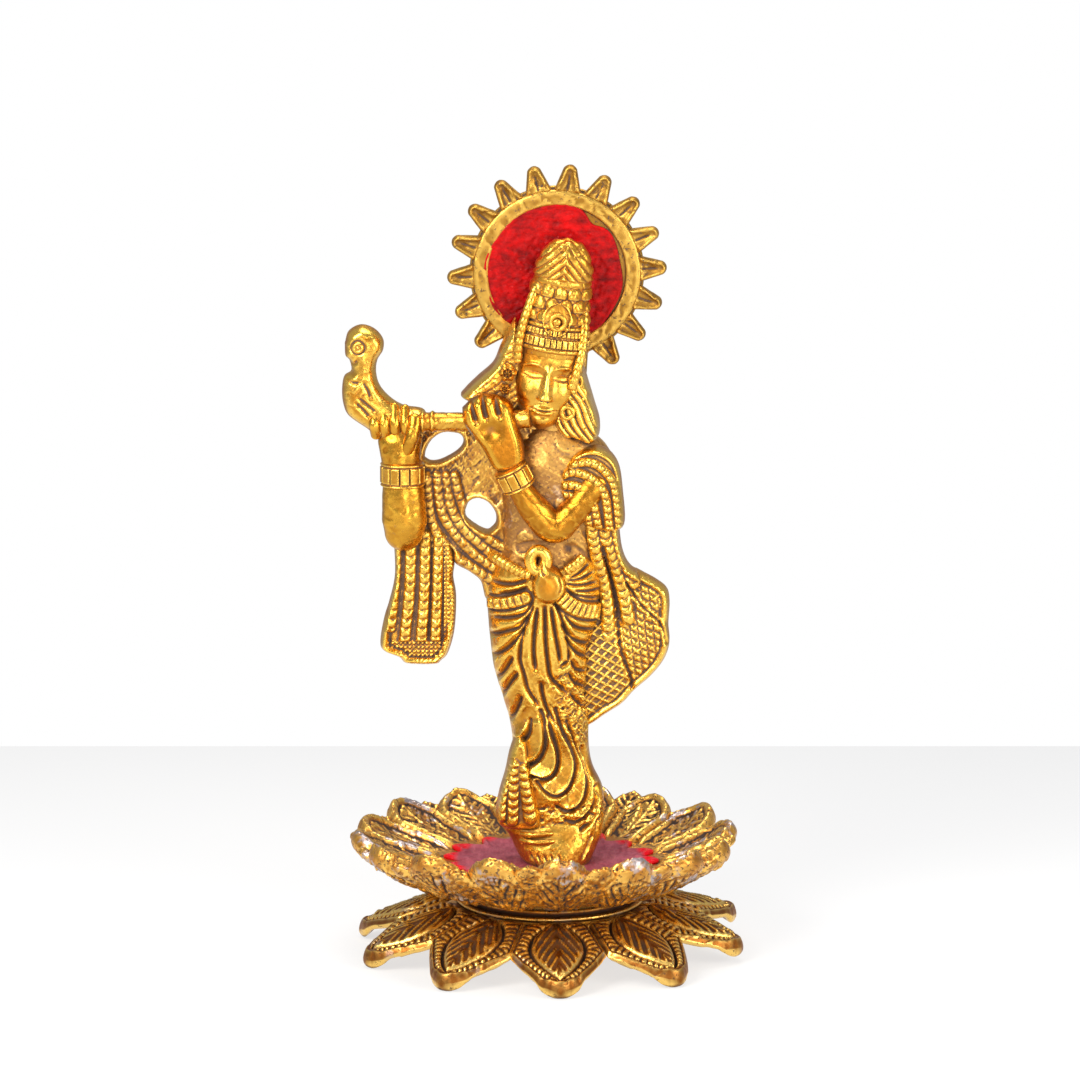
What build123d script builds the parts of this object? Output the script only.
from build123d import *
import math
import os

# Flute-playing deity statue: a relief-cast figure and a sunburst halo on a two-tier lotus stand.
#
# Millimetres. +Z is up and -Y is the front. The origin is on the floor, under the middle of the stand.
# Three castings (petalled base, petalled bowl, figure) are pulled together by one screw from below,
# and the halo casting is riveted behind the crown. Red enamel fills the halo's recess and the bowl's floor.

# ---------------------------------------------------------------- base casting, petals turned down
base_petal_count = 10
base_petal_first_angle = -87.0
base_tip_radius = 34.8
base_petal_root_radius = 12.0
base_petal_half_width = 7.2
base_petal_tip_fillet = 2.4
base_web_radius = 24.0
base_wall = 2.0
base_plate_radius = 17.0
base_plate_top = 9.0
base_tip_top = 2.1
base_foot_width = 3.4
base_panel_depth = 0.6
base_panel_margin = 2.4
base_midrib_width = 0.7

# ---------------------------------------------------------------- dished spacer between base and bowl
spacer_radius = 15.8
spacer_thickness = 0.7
spacer_lip_width = 0.8
spacer_lip_height = 0.9

# ---------------------------------------------------------------- bowl casting, petals turned up
bowl_petal_count = 16
bowl_petal_first_angle = -84.0
bowl_inset = 0.7
bowl_rim_radius = base_tip_radius - bowl_inset
bowl_lobe_radius = 5.7
bowl_small_lobe_radius = 2.8
bowl_small_inset = 1.6
bowl_small_tip_radius = bowl_rim_radius - bowl_small_inset
bowl_wall = 2.0
bowl_rim_wall = 3.0
bowl_rim_rise = 6.4
bowl_floor_radius = 17.0
bowl_bend_radius = 23.0
bowl_bend_rise = 1.5
bowl_foot_radius = 13.5
bowl_foot_wall = 1.8
bowl_foot_height = 4.2
bowl_belly_radius = 24.0
bowl_belly_rise = 2.6
bowl_spacer_gap = 0.3
bowl_boss_radius = 4.6
bowl_panel_depth = 0.5
bowl_panel_half_width = 3.4
bowl_panel_margin = 1.9

# ---------------------------------------------------------------- fixing screw and washer
screw_radius = 2.0
screw_head_radius = 3.7
screw_head_height = 2.3
screw_slot_width = 0.9
screw_slot_depth = 1.1
screw_reach = 6.0
washer_radius = 4.8
washer_thickness = 0.8
hole_clearance = 0.3
thread_clearance = 0.05

# ---------------------------------------------------------------- enamel
enamel_thickness = 0.3
enamel_gap = 0.1

# ---------------------------------------------------------------- halo casting
halo_ray_count = 18
halo_first_ray_angle = 82.7
halo_tip_radius = 19.0
halo_disc_radius = 14.0
halo_ray_root_half_width = 2.1
halo_ray_tip_radius = 0.8
halo_thickness = 1.8
halo_recess_radius = 11.8
halo_recess_depth = 0.5
halo_centre_x = 1.2
halo_centre_height = 103.5
halo_rivet_radius = 1.2
halo_rivet_head_radius = 2.2
halo_rivet_head_height = 0.9
halo_rivet_reach = 3.0
halo_groove_width = 0.7
halo_groove_depth = 0.5

# ---------------------------------------------------------------- figure: trunk
# Heights are above the bowl's floor. Round bodies are turned about a line whose ends lie near the flat
# back, so that the cut round sections give a deep relief. A profile lists (distance along it, radius).
back_plane = 4.0
drapery_foot = (2.1, 1.0, 0.0)
drapery_top = (-1.6, 3.0, 56.0)
drapery_profile = [(0.0, 6.0), (10.0, 6.6), (21.0, 6.8), (41.0, 9.6), (56.1, 7.9)]
torso_foot = (-1.4, 2.8, 54.0)
torso_top = (0.9, 2.2, 77.0)
torso_profile = [(0.0, 7.4), (14.0, 9.7), (23.0, 5.2)]
neck_base = (0.8, 1.4, 76.0)
neck_top = (0.2, 0.4, 83.0)
neck_radius = 3.5
belt_height = 2.4
belt_swell = 0.7
socket_depth = screw_reach + hole_clearance

# ---------------------------------------------------------------- figure: head and crown, on a tilted axis
chin = (-1.7, -1.2, 78.3)
head_tilt = 8.7
crown_above_halo_centre = 8.1
crown_taper_length = 5.0
head_length = (halo_centre_height + crown_above_halo_centre - chin[2]) / math.cos(math.radians(head_tilt))
# (distance up the axis from the chin, radius)
head_profile = [
    (0.0, 1.8), (5.0, 5.6), (14.0, 6.8), (head_length - crown_taper_length, 5.0), (head_length, 0.7),
]
crown_band_swell = 0.5
crown_band_height = 1.1
# distance down the axis from the crown's tip
crown_band_drops = (17.8, 14.6, 10.0)
rosette_drop = 15.6
rosette_radius = 2.0
rosette_thickness = 1.1
hair_thickness = 4.4
hair_corner = 1.2
left_hair_outline = [
    (-3.0, 93.5), (-8.6, 92.2), (-10.4, 88.0), (-13.8, 85.6), (-14.9, 81.8), (-9.0, 78.6), (-3.0, 79.4),
]
right_hair_outline = [(2.0, 91.0), (5.4, 87.2), (8.4, 82.0), (9.0, 76.6), (6.0, 73.6), (1.0, 74.4)]
earring_radius = 1.2
earring_hole_radius = 0.55
earring_thickness = 1.2
earring_places = ((3.2, 79.0), (-8.4, 84.0))
crown_boss_radius = 4.0

# ---------------------------------------------------------------- figure: arms, hands and flute
crossing_wrist = (-7.2, -6.6, 70.0)
crossing_elbow = (-0.3, -6.6, 60.3)
crossing_shoulder = (7.4, -1.6, 70.4)
crossing_wrist_radius = 2.4
crossing_elbow_radius = 2.9
crossing_shoulder_radius = 4.4
crossing_palm_outline = [(-9.6, 69.6), (-13.9, 80.4), (-12.6, 82.8), (-7.6, 82.4), (-4.8, 72.4)]
crossing_palm_front = -8.9
crossing_palm_thickness = 3.6
crossing_knuckle = (-12.5, 77.2)
sleeve_shares = (0.42, 0.60, 0.78)
sleeve_swell = 0.6
sleeve_length = 1.5
raised_arm_x = -25.3
raised_arm_y = 0.4
raised_arm_height = 67.6
raised_wrist_radius = 3.3
# (height, radius), from the elbow's tip up to the wrist
raised_arm_profile = [(55.6, 1.4), (56.6, 2.6), (59.0, 3.5), (67.6, 3.3)]
raised_palm_outline = [
    (-28.6, 69.0), (-29.0, 76.4), (-30.4, 79.0), (-27.0, 81.8), (-21.4, 81.6), (-20.9, 75.0), (-22.4, 69.0),
]
raised_palm_front = -3.0
raised_palm_thickness = 5.2
raised_knuckle = (-29.3, 79.1)
thumb = ((-25.0, -2.8, 71.8), (-22.6, -3.0, 80.4))
thumb_radius = 1.25
palm_corner = 1.2
palm_edge = 0.6
finger_count = 4
finger_pitch = 1.7
finger_radius = 0.9
finger_length = 4.6
bangle_length = 2.7
bangle_swell = 0.6
bangle_edge = 0.7
flute_outer_end = (-29.5, -0.8, 80.3)
flute_mouth_end = (-3.4, -6.2, 80.2)
flute_radius = 1.6
flute_ring_swell = 0.4
flute_ring_length = 1.1
flute_ring_shares = (0.30, 0.42, 0.54)
finial_thickness = 4.2
finial_front = -2.9
finial_edge = 0.7
finial_head_centre = (-32.1, 91.7)
finial_head_radius = 3.4
finial_neck_corner = 1.3
finial_neck_outline = [
    (-34.2, 91.0), (-33.8, 88.2), (-35.5, 86.4), (-35.5, 82.4), (-33.8, 78.6),
    (-29.0, 74.8), (-25.0, 77.0), (-25.0, 81.0), (-30.0, 83.0), (-31.0, 86.4), (-29.4, 90.6),
]

# ---------------------------------------------------------------- figure: shawl, thin plates with cords
shawl_back = 3.4
shawl_edge = 0.6
web_thickness = 2.4
web_corner = 1.4
web_outline = [
    (-23.2, 79.0), (-10.0, 79.6), (-4.0, 66.0), (-6.0, 47.6), (-12.6, 48.8), (-17.2, 52.4), (-23.4, 54.4),
]
upper_hole = (-18.4, 74.2, 3.1, 2.1)
upper_hole_turn = 18.0
lower_hole = (-11.9, 62.2, 2.75)
strip_thickness = 2.8
strip_corner = 2.2
strip_outline = [
    (-27.6, 57.6), (-29.4, 37.2), (-26.2, 34.6), (-19.8, 34.3), (-16.9, 42.0), (-16.4, 54.0), (-21.0, 58.6),
]
wing_thickness = 3.4
wing_corner = 1.8
wing_outline = [
    (4.0, 75.2), (9.4, 74.4), (12.0, 68.4), (12.6, 56.2), (20.2, 50.2),
    (21.0, 39.4), (17.2, 32.8), (8.4, 24.6), (3.0, 30.0),
]
cord_radius = 1.0
strip_cord_count = 4
strip_cord_pitch = 2.3
strip_first_cord = -26.4
strip_cord_lean = 1.5
strip_cord_top = 56.4
strip_cord_bottom = 39.0
band_cords = [
    [(-20.6, 0.8, 69.4), (-19.0, 0.6, 59.4), (-8.6, -1.6, 50.8)],
    [(-18.0, 0.8, 69.0), (-16.4, 0.4, 60.6), (-8.0, -1.8, 53.2)],
    [(-22.6, 1.0, 64.0), (-21.2, 0.8, 56.6), (-9.6, -1.2, 48.6)],
]
fall_cords = [
    [(5.6, -1.6, 73.4), (8.6, -2.6, 66.0), (8.2, -2.4, 40.0)],
    [(8.0, -0.8, 73.0), (10.6, -1.2, 66.0), (11.0, -0.6, 46.0), (13.6, -0.4, 34.0)],
]
tassel_cords = [
    [(-4.8, -1.6, 18.0), (-7.7, -0.8, 6.6)],
    [(-3.2, -3.4, 17.0), (-5.0, -3.8, 6.0)],
    [(-1.6, -4.2, 16.0), (-2.0, -5.0, 6.0)],
]
tassel_radius = 1.5

# ---------------------------------------------------------------- figure: knot, pleats and foot
knot_loop_place = (-2.7, -7.6, 55.6)
knot_loop_radius = 2.9
knot_loop_hole_radius = 1.0
knot_loop_thickness = 2.6
knot_loop_edge = 0.6
knot_drop_place = (-0.6, -8.9, 50.8)
knot_drop_radius = 2.8
knot_drop_thickness = 4.0
knot_drop_edge = 1.2
pleat_root = (-0.6, 49.0)
pleat_radius = 0.8
pleat_angles = (-160.0, -142.0, -122.0, -106.0, -94.0, -82.0, -66.0, -48.0, -28.0)
pleat_reach = (8.4, 9.6, 12.0, 16.0, 20.0, 18.0, 13.0, 10.0, 8.4)
foot_outline = [(-3.4, -1.0), (-2.6, -7.0), (0.4, -8.4), (5.8, -8.0), (7.8, -4.0), (7.8, 1.0), (-3.4, 1.0)]
foot_corner = 1.0
foot_height = 2.4
foot_edge = 0.7
toe_count = 5
toe_radius = 0.85
toe_height = 1.3
toe_pitch = 1.65
first_toe = (-0.9, -8.2)
toe_length = 2.6

FRONT = Plane.XZ


# ---------------------------------------------------------------- small helpers
def rod(start, end, start_radius, end_radius=None):
    """A round rod from start to end, tapering if the two radii differ."""
    end_radius = start_radius if end_radius is None else end_radius
    axis = Vector(*end) - Vector(*start)
    plane = Plane(origin=start, z_dir=axis)
    if abs(start_radius - end_radius) < 1e-6:
        return Solid.make_cylinder(start_radius, axis.length, plane)
    return Solid.make_cone(start_radius, end_radius, axis.length, plane)


def ball(centre, radius):
    """A sphere about a point, with its poles to the left and right."""
    return Pos(*centre) * Rot(0, 90, 0) * Sphere(radius)


def along(start, end):
    """A plane at the start whose normal points to the end."""
    return Plane(origin=start, z_dir=Vector(*end) - Vector(*start))


def turned(plane, profile):
    """A solid of straight tapers turned about the plane's normal. The profile lists (distance, radius)."""
    side = [(radius, distance) for distance, radius in profile]
    outline = [(0, profile[0][0])] + side + [(0, profile[-1][0])]
    return plane * revolve(FRONT * make_face(Polyline(*outline, close=True)), Axis.Z)


def profile_radius(profile, distance):
    """The radius of a turned profile at a distance along it."""
    for (low, low_radius), (high, high_radius) in zip(profile, profile[1:]):
        if low <= distance <= high:
            return low_radius + (high_radius - low_radius) * (distance - low) / (high - low)


def cord(points, radius):
    """A round cord laid along a line of points."""
    return [rod(a, b, radius) for a, b in zip(points, points[1:])]


def rounded(outline, corner):
    """A flat face with the outline's corners rounded."""
    face = make_face(Polyline(*outline, close=True))
    return fillet(face.vertices(), corner)


def plate(face, thickness, back, edge):
    """A face drawn in X and Z, thickened towards the front from y = back, with its front edges bevelled."""
    solid = Pos(0, back, 0) * extrude(FRONT * face, thickness)
    front_face = solid.faces().sort_by(Axis.Y)[0]
    return chamfer(front_face.edges(), edge)


def between(start, end, share):
    """The point at that share of the way from start to end."""
    return tuple(a + share * (b - a) for a, b in zip(start, end))


def solid_of(shape):
    """The one solid of a fused shape."""
    parts = shape.solids()
    assert len(parts) == 1, "the shape is in several pieces"
    return parts[0]


def petal_ring(count, first_angle):
    """Turns about Z, one for each petal."""
    return [Rot(0, 0, first_angle + i * 360.0 / count) for i in range(count)]


# ---------------------------------------------------------------- lotus base
def leaf(inner, outer, half_width, tip_fillet):
    """A flat leaf along +X between two radii: two arcs, with the outer point rounded."""
    middle = (inner + outer) / 2
    edges = ThreePointArc((inner, 0), (middle, half_width), (outer, 0))
    edges += ThreePointArc((outer, 0), (middle, -half_width), (inner, 0))
    face = make_face(edges)
    tip = face.vertices().sort_by(Axis.X)[-1]
    return fillet(tip, tip_fillet)


def height_on(line, radius):
    """The height of a sloping line of two (radius, height) points at a radius."""
    (inner, inner_height), (outer, outer_height) = line
    return inner_height + (outer_height - inner_height) * (radius - inner) / (outer - inner)


def slab(section, half_width):
    """A section drawn in radius and height, made into a bar that is as wide on either side of +X."""
    return extrude(FRONT * make_face(Polyline(*section, close=True)), half_width, both=True)


def sector(count, reach):
    """The wedge of a round casting that belongs to the petal along +X."""
    half_width = reach * math.tan(math.pi / count)
    return make_face(Polyline((0, 0), (reach, -half_width), (reach, half_width), close=True))


def ring_of_petals(petal, count, first_angle):
    """The petal and its copies all the way round, joined into one casting."""
    first, *others = [turn * petal for turn in petal_ring(count, first_angle)]
    return first + others


base_slope = [(base_plate_radius, base_plate_top), (base_tip_radius, base_tip_top)]


def base_section():
    """A cut through one petal along its middle: the flat plate, the slope and the foot under the tip."""
    reach = base_tip_radius + base_wall
    foot_start = base_tip_radius - base_foot_width
    return [
        (0, base_plate_top), (base_plate_radius, base_plate_top), (reach, height_on(base_slope, reach)),
        (reach, 0), (foot_start, 0), (foot_start, height_on(base_slope, foot_start) - base_wall),
        (base_plate_radius, base_plate_top - base_wall), (0, base_plate_top - base_wall),
    ]


def make_base():
    """Ten flat petals that slope down to their feet, each with a sunk panel on either side of its midrib."""
    reach = base_tip_radius + base_wall
    outline = leaf(base_petal_root_radius, base_tip_radius, base_petal_half_width, base_petal_tip_fillet)
    outline += Circle(base_web_radius)
    outline &= sector(base_petal_count, reach)
    petal = slab(base_section(), base_web_radius) & extrude(outline, base_plate_top)
    inner = base_plate_radius + base_panel_margin / 2
    outer = base_tip_radius - 1.6 * base_panel_margin
    panel = leaf(inner, outer, base_petal_half_width - 1.5 * base_panel_margin, base_petal_tip_fillet / 3)
    panel -= Pos((inner + outer) / 2, 0) * Rectangle(outer - inner, base_midrib_width)
    sunk = [(r, height_on(base_slope, r) - base_panel_depth) for r in (inner, outer)]
    recess = slab(sunk + [(outer, base_plate_top), (inner, base_plate_top)], base_petal_half_width)
    petal -= recess & extrude(panel, base_plate_top)
    casting = ring_of_petals(petal, base_petal_count, base_petal_first_angle)
    casting -= Cylinder(screw_radius + hole_clearance, 4 * base_plate_top)
    return solid_of(casting)


# ---------------------------------------------------------------- spacer, bowl and their levels
spacer_bottom = base_plate_top
bowl_seat = spacer_bottom + spacer_thickness
bowl_floor = bowl_seat + bowl_foot_height + bowl_wall


def ring_of(outer, inner, height, bottom):
    """A plain ring standing on a level."""
    up = (Align.CENTER, Align.CENTER, Align.MIN)
    return Pos(0, 0, bottom) * (Cylinder(outer, height, align=up) - Cylinder(inner, height, align=up))


def make_spacer():
    disc = ring_of(spacer_radius, screw_radius + hole_clearance, spacer_thickness, spacer_bottom)
    lip = ring_of(spacer_radius, spacer_radius - spacer_lip_width, spacer_lip_height, bowl_seat)
    return solid_of(disc + lip)


bowl_rim_height = bowl_floor + bowl_rim_rise
bowl_slope = [(bowl_bend_radius, bowl_floor + bowl_bend_rise), (bowl_rim_radius, bowl_rim_height)]


def bowl_section():
    """A cut through one petal along its middle: the floor, a gentle rise and the petal, over a full belly."""
    reach = bowl_rim_radius + bowl_wall
    inner = bowl_foot_radius - bowl_foot_wall / 2
    return [
        (0, bowl_floor), (bowl_floor_radius, bowl_floor), bowl_slope[0],
        (reach, height_on(bowl_slope, reach)), (reach, height_on(bowl_slope, reach) - bowl_rim_wall),
        (bowl_belly_radius, bowl_seat + bowl_belly_rise),
        (inner, bowl_seat + spacer_lip_height + bowl_spacer_gap), (inner, bowl_floor - bowl_wall),
        (0, bowl_floor - bowl_wall),
    ]


def make_bowl():
    """Sixteen petals that rise to round tips, each with a sunk panel, and smaller ones between them."""
    reach = bowl_rim_radius + bowl_wall
    top = height_on(bowl_slope, reach)
    outline = Circle(bowl_rim_radius - bowl_lobe_radius)
    outline += Pos(bowl_rim_radius - bowl_lobe_radius, 0) * Circle(bowl_lobe_radius)
    small = Pos(bowl_small_tip_radius - bowl_small_lobe_radius, 0) * Circle(bowl_small_lobe_radius)
    for side in (-1, 1):
        outline += Rot(0, 0, side * 180.0 / bowl_petal_count) * small
    outline &= sector(bowl_petal_count, reach)
    petal = slab(bowl_section(), bowl_lobe_radius + bowl_wall) & extrude(outline, top)
    outer = bowl_rim_radius - bowl_panel_margin
    panel = leaf(bowl_bend_radius, outer, bowl_panel_half_width, bowl_panel_margin / 2)
    sunk = [(r, height_on(bowl_slope, r) - bowl_panel_depth) for r in (bowl_bend_radius, outer)]
    recess = slab(sunk + [(outer, top), (bowl_bend_radius, top)], bowl_lobe_radius)
    petal -= recess & extrude(panel, top)
    casting = ring_of_petals(petal, bowl_petal_count, bowl_petal_first_angle)
    casting += ring_of(bowl_foot_radius, bowl_foot_radius - bowl_foot_wall, bowl_foot_height, bowl_seat)
    casting += ring_of(bowl_boss_radius, 0.5 * screw_radius, bowl_foot_height, bowl_seat)
    casting -= Cylinder(screw_radius + hole_clearance, 4 * bowl_floor)
    return solid_of(casting)


def make_bowl_enamel():
    """A thin enamel layer on the bowl's floor, with a gap left round the figure's foot."""
    up = (Align.CENTER, Align.CENTER, Align.MIN)
    disc = Cylinder(bowl_floor_radius - enamel_gap, enamel_thickness, align=up)
    foot_radius = drapery_profile[0][1] + hole_clearance
    disc -= Pos(*drapery_foot) * Cylinder(foot_radius, enamel_thickness, align=up)
    disc -= extrude(offset(rounded(foot_outline, foot_corner), hole_clearance), enamel_thickness)
    return solid_of(Pos(0, 0, bowl_floor) * disc)


# ---------------------------------------------------------------- screw and washer
def make_screw():
    head_top = base_plate_top - base_wall - washer_thickness
    up = (Align.CENTER, Align.CENTER, Align.MIN)
    head = Cylinder(screw_head_radius, screw_head_height, align=up)
    head = chamfer(head.edges().filter_by(GeomType.CIRCLE).sort_by(Axis.Z)[0], 0.3 * screw_head_height)
    slot = Box(2 * screw_head_radius, screw_slot_width, 2 * screw_slot_depth)
    slot += Rot(0, 0, 90) * slot
    screw = Pos(0, 0, head_top - screw_head_height) * (head - slot)
    shank_length = bowl_floor + screw_reach - head_top
    screw += Pos(0, 0, head_top) * Cylinder(screw_radius, shank_length, align=up)
    return solid_of(screw)


def make_washer():
    bottom = base_plate_top - base_wall - washer_thickness
    return solid_of(ring_of(washer_radius, screw_radius + hole_clearance, washer_thickness, bottom))


# ---------------------------------------------------------------- halo
halo_front = back_plane + enamel_gap
halo_centre = Pos(halo_centre_x, 0, bowl_floor + halo_centre_height)


def make_halo():
    """A disc with tapered rays. Each ray has a groove along it, and the middle is sunk for enamel."""
    flat = Circle(halo_disc_radius)
    reach = halo_tip_radius - halo_ray_tip_radius
    ray = make_hull(
        (Pos(halo_disc_radius - 1, 0) * Circle(halo_ray_root_half_width)).edges()
        + (Pos(reach, 0) * Circle(halo_ray_tip_radius)).edges()
    )
    turns = petal_ring(halo_ray_count, halo_first_ray_angle)
    for turn in turns:
        flat += turn * ray
    disc = extrude(FRONT * flat, -halo_thickness)
    recess = extrude(FRONT * Circle(halo_recess_radius), -halo_recess_depth)
    disc -= recess
    disc -= extrude(FRONT * Circle(halo_rivet_radius + thread_clearance), -halo_thickness)
    groove_length = reach - halo_disc_radius
    groove = Pos(halo_disc_radius + groove_length / 2, 0) * Rectangle(groove_length, halo_groove_width)
    for turn in turns:
        disc -= extrude(FRONT * (turn * groove), -halo_groove_depth)
    return solid_of(halo_centre * (Pos(0, halo_front, 0) * disc))


def make_halo_enamel():
    ring = Circle(halo_recess_radius - thread_clearance) - Circle(halo_rivet_radius + hole_clearance)
    layer = extrude(FRONT * ring, -enamel_thickness)
    return solid_of(halo_centre * (Pos(0, halo_front + halo_recess_depth - enamel_thickness, 0) * layer))


def make_halo_rivet():
    """A shank through the halo into the back of the crown, with a domed head behind."""
    shank_length = halo_rivet_reach + halo_thickness + enamel_gap
    start = halo_front + halo_thickness - shank_length
    shank = rod((0, start, 0), (0, start + shank_length, 0), halo_rivet_radius)
    head_end = start + shank_length + halo_rivet_head_height
    head = rod((0, start + shank_length, 0), (0, head_end, 0), halo_rivet_head_radius, halo_rivet_radius)
    return solid_of(halo_centre * (Part() + shank + head))


# ---------------------------------------------------------------- figure
def head_plane(distance):
    """A plane across the tilted head axis, that far above the chin."""
    return Pos(*chin) * Rot(0, head_tilt, 0) * Pos(0, 0, distance)


def drapery_front(x, height):
    """Where the drapery's front surface lies, as a y value, at that x and height."""
    share = height / drapery_top[2]
    axis_x, axis_y, _ = between(drapery_foot, drapery_top, share)
    radius = profile_radius(drapery_profile, height)
    return axis_y - math.sqrt(max(radius**2 - (x - axis_x) ** 2, 0))


def head_pieces():
    pieces = [turned(head_plane(0), head_profile)]
    for drop in crown_band_drops:
        distance = head_length - drop
        radius = profile_radius(head_profile, distance) + crown_band_swell
        pieces.append(head_plane(distance) * Cylinder(radius, crown_band_height))
    rosette = Rot(90, 0, 0) * Cylinder(rosette_radius, 2 * rosette_thickness)
    distance = head_length - rosette_drop
    forehead = -profile_radius(head_profile, distance)
    pieces.append(head_plane(distance) * (Pos(0, forehead, 0) * rosette))
    boss_front = (halo_centre_x, chin[1], halo_centre_height)
    pieces.append(rod(boss_front, (halo_centre_x, back_plane, halo_centre_height), crown_boss_radius))
    for outline in (left_hair_outline, right_hair_outline):
        pieces.append(plate(rounded(outline, hair_corner), hair_thickness, back_plane, shawl_edge))
    ring = Circle(earring_radius) - Circle(earring_hole_radius)
    hair_front = back_plane - hair_thickness
    for x, z in earring_places:
        earring = extrude(FRONT * ring, 2 * earring_thickness)
        pieces.append(Pos(x, hair_front + earring_thickness, z) * earring)
    return pieces


def on_drapery(x, height):
    """A point on the drapery's front surface."""
    return (x, drapery_front(x, height), height)


def trunk_pieces():
    pieces = [turned(along(drapery_foot, drapery_top), drapery_profile)]
    pieces.append(turned(along(torso_foot, torso_top), torso_profile))
    pieces.append(rod(neck_base, neck_top, neck_radius))
    x, y, z = drapery_top
    radius = drapery_profile[-1][1] + belt_swell
    pieces.append(Pos(x, y, z) * Cylinder(radius, belt_height))
    loop = Circle(knot_loop_radius) - Circle(knot_loop_hole_radius)
    x, y, z = knot_loop_place
    pieces.append(plate(Pos(x, z) * loop, knot_loop_thickness, y + knot_loop_thickness, knot_loop_edge))
    drop = Circle(knot_drop_radius)
    x, y, z = knot_drop_place
    pieces.append(plate(Pos(x, z) * drop, knot_drop_thickness, y + knot_drop_thickness, knot_drop_edge))
    root_x, root_height = pleat_root
    for angle, reach in zip(pleat_angles, pleat_reach):
        turn = math.radians(angle)
        route = []
        for share in (0, 0.5, 1):
            x = root_x + share * reach * math.cos(turn)
            height = root_height + share * reach * math.sin(turn)
            route.append(on_drapery(x, height))
        pieces += cord(route, pleat_radius)
    return pieces


def bangle(start, end, share, radius):
    """A band round a limb, with a thin edge ring at either end."""
    middle = between(start, end, share)
    axis = Vector(*end) - Vector(*start)
    plane = Plane(origin=middle, z_dir=axis)
    band = plane * Cylinder(radius + bangle_swell, bangle_length)
    rim = Cylinder(radius + 1.7 * bangle_swell, bangle_edge)
    for side in (-1, 1):
        band += plane * (Pos(0, 0, side * (bangle_length - bangle_edge) / 2) * rim)
    return band


def fingers(first_knuckle, front):
    """A row of round fingers that stand up from their knuckles and just meet each other."""
    first_x, z = first_knuckle
    places = [first_x + i * finger_pitch for i in range(finger_count)]
    return [rod((x, front, z), (x, front, z + finger_length), finger_radius) for x in places]


def crossing_arm_pieces():
    pieces = [rod(crossing_wrist, crossing_elbow, crossing_wrist_radius, crossing_elbow_radius)]
    pieces.append(rod(crossing_elbow, crossing_shoulder, crossing_elbow_radius, crossing_shoulder_radius))
    pieces.append(ball(crossing_elbow, crossing_elbow_radius))
    pieces.append(bangle(crossing_wrist, crossing_elbow, 0.12, crossing_wrist_radius))
    for share in sleeve_shares:
        axis = Vector(*crossing_shoulder) - Vector(*crossing_elbow)
        plane = Plane(origin=between(crossing_elbow, crossing_shoulder, share), z_dir=axis)
        radius = crossing_elbow_radius + share * (crossing_shoulder_radius - crossing_elbow_radius)
        pieces.append(plane * Cylinder(radius + sleeve_swell, sleeve_length))
    palm = rounded(crossing_palm_outline, palm_corner)
    back = crossing_palm_front + crossing_palm_thickness
    pieces.append(plate(palm, crossing_palm_thickness, back, palm_edge))
    return pieces + fingers(crossing_knuckle, crossing_palm_front + 0.3 * finger_radius)


def raised_arm_pieces():
    pieces = [turned(Plane(origin=(raised_arm_x, raised_arm_y, 0)), raised_arm_profile)]
    wrist = (raised_arm_x, raised_arm_y, raised_arm_height)
    above = (raised_arm_x, raised_arm_y, raised_arm_height + bangle_length)
    pieces.append(bangle(wrist, above, 0.5, raised_wrist_radius))
    palm = rounded(raised_palm_outline, palm_corner)
    back = raised_palm_front + raised_palm_thickness
    pieces.append(plate(palm, raised_palm_thickness, back, palm_edge))
    pieces.append(rod(*thumb, thumb_radius))
    return pieces + fingers(raised_knuckle, raised_palm_front + 0.3 * finger_radius)


def flute_pieces():
    pieces = [rod(flute_outer_end, flute_mouth_end, flute_radius)]
    axis = Vector(*flute_mouth_end) - Vector(*flute_outer_end)
    for share in flute_ring_shares:
        plane = Plane(origin=between(flute_outer_end, flute_mouth_end, share), z_dir=axis)
        pieces.append(plane * Cylinder(flute_radius + flute_ring_swell, flute_ring_length))
    head = Pos(*finial_head_centre) * Circle(finial_head_radius)
    back = finial_front + finial_thickness
    pieces.append(plate(head, finial_thickness, back, finial_edge))
    neck = rounded(finial_neck_outline, finial_neck_corner)
    pieces.append(plate(neck, finial_thickness, back, finial_edge))
    return pieces


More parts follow.
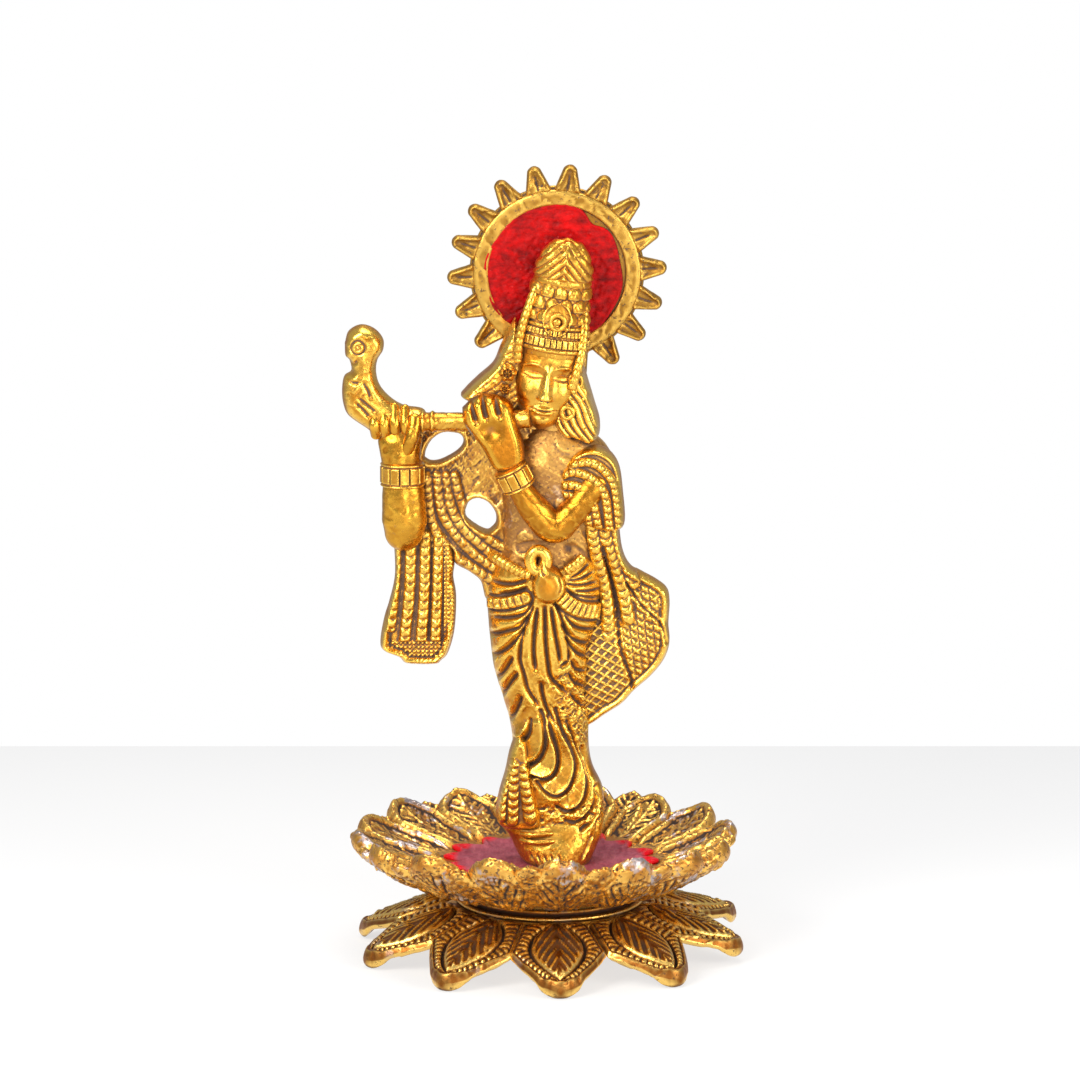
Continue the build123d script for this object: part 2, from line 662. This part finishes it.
def shawl_pieces():
    web = rounded(web_outline, web_corner)
    x, z, long_radius, short_radius = upper_hole
    web -= Pos(x, z) * Rot(0, 0, upper_hole_turn) * Ellipse(long_radius, short_radius)
    x, z, radius = lower_hole
    web -= Pos(x, z) * Circle(radius)
    pieces = [Pos(0, shawl_back, 0) * extrude(FRONT * web, web_thickness)]
    pieces.append(plate(rounded(strip_outline, strip_corner), strip_thickness, shawl_back, shawl_edge))
    pieces.append(plate(rounded(wing_outline, wing_corner), wing_thickness, shawl_back, shawl_edge))
    strip_front = shawl_back - strip_thickness
    for i in range(strip_cord_count):
        x = strip_first_cord + i * strip_cord_pitch
        lean = strip_cord_lean * (1 - i / (strip_cord_count - 1))
        bottom = (x - lean, strip_front, strip_cord_bottom)
        pieces.append(rod((x, strip_front, strip_cord_top), bottom, cord_radius))
    for points in band_cords + fall_cords:
        pieces += cord(points, cord_radius)
    return pieces


def foot_pieces():
    sole = extrude(rounded(foot_outline, foot_corner), foot_height)
    pieces = [chamfer(sole.faces().sort_by(Axis.Z)[-1].edges(), foot_edge)]
    for i in range(toe_count):
        x = first_toe[0] + i * toe_pitch
        y = first_toe[1]
        tip = (x, y - 0.5 * toe_radius, toe_height)
        pieces.append(rod(tip, (x, y + toe_length, toe_height), toe_radius))
    for points in tassel_cords:
        pieces += cord(points, tassel_radius)
    return pieces


def figure_pieces():
    pieces = trunk_pieces() + head_pieces() + crossing_arm_pieces() + raised_arm_pieces()
    return pieces + flute_pieces() + shawl_pieces() + foot_pieces()


def make_figure():
    """One relief casting: rounded in front, flat behind and below, with sockets for screw and rivet."""
    first, *others = figure_pieces()
    casting = first + others
    up = (Align.CENTER, Align.CENTER, Align.MIN)
    reach = 2 * (halo_centre_height + halo_tip_radius)
    casting &= Pos(0, back_plane - reach / 2, 0) * Box(reach, reach, reach, align=up)
    casting -= Cylinder(screw_radius + thread_clearance, socket_depth, align=up)
    start = (halo_centre_x, back_plane - halo_rivet_reach, halo_centre_height)
    end = (halo_centre_x, 2 * back_plane, halo_centre_height)
    casting -= rod(start, end, halo_rivet_radius + thread_clearance)
    return solid_of(Pos(0, 0, bowl_floor) * casting)


if __name__ == "__main__":
    os.makedirs("parts", exist_ok=True)
    for name, make in (
        ("lotus_base", make_base),
        ("spacer_disc", make_spacer),
        ("lotus_bowl", make_bowl),
        ("bowl_enamel", make_bowl_enamel),
        ("figure", make_figure),
        ("halo", make_halo),
        ("halo_enamel", make_halo_enamel),
        ("halo_rivet", make_halo_rivet),
        ("fixing_screw", make_screw),
        ("screw_washer", make_washer),
    ):
        export_step(make(), f"parts/{name}.step")
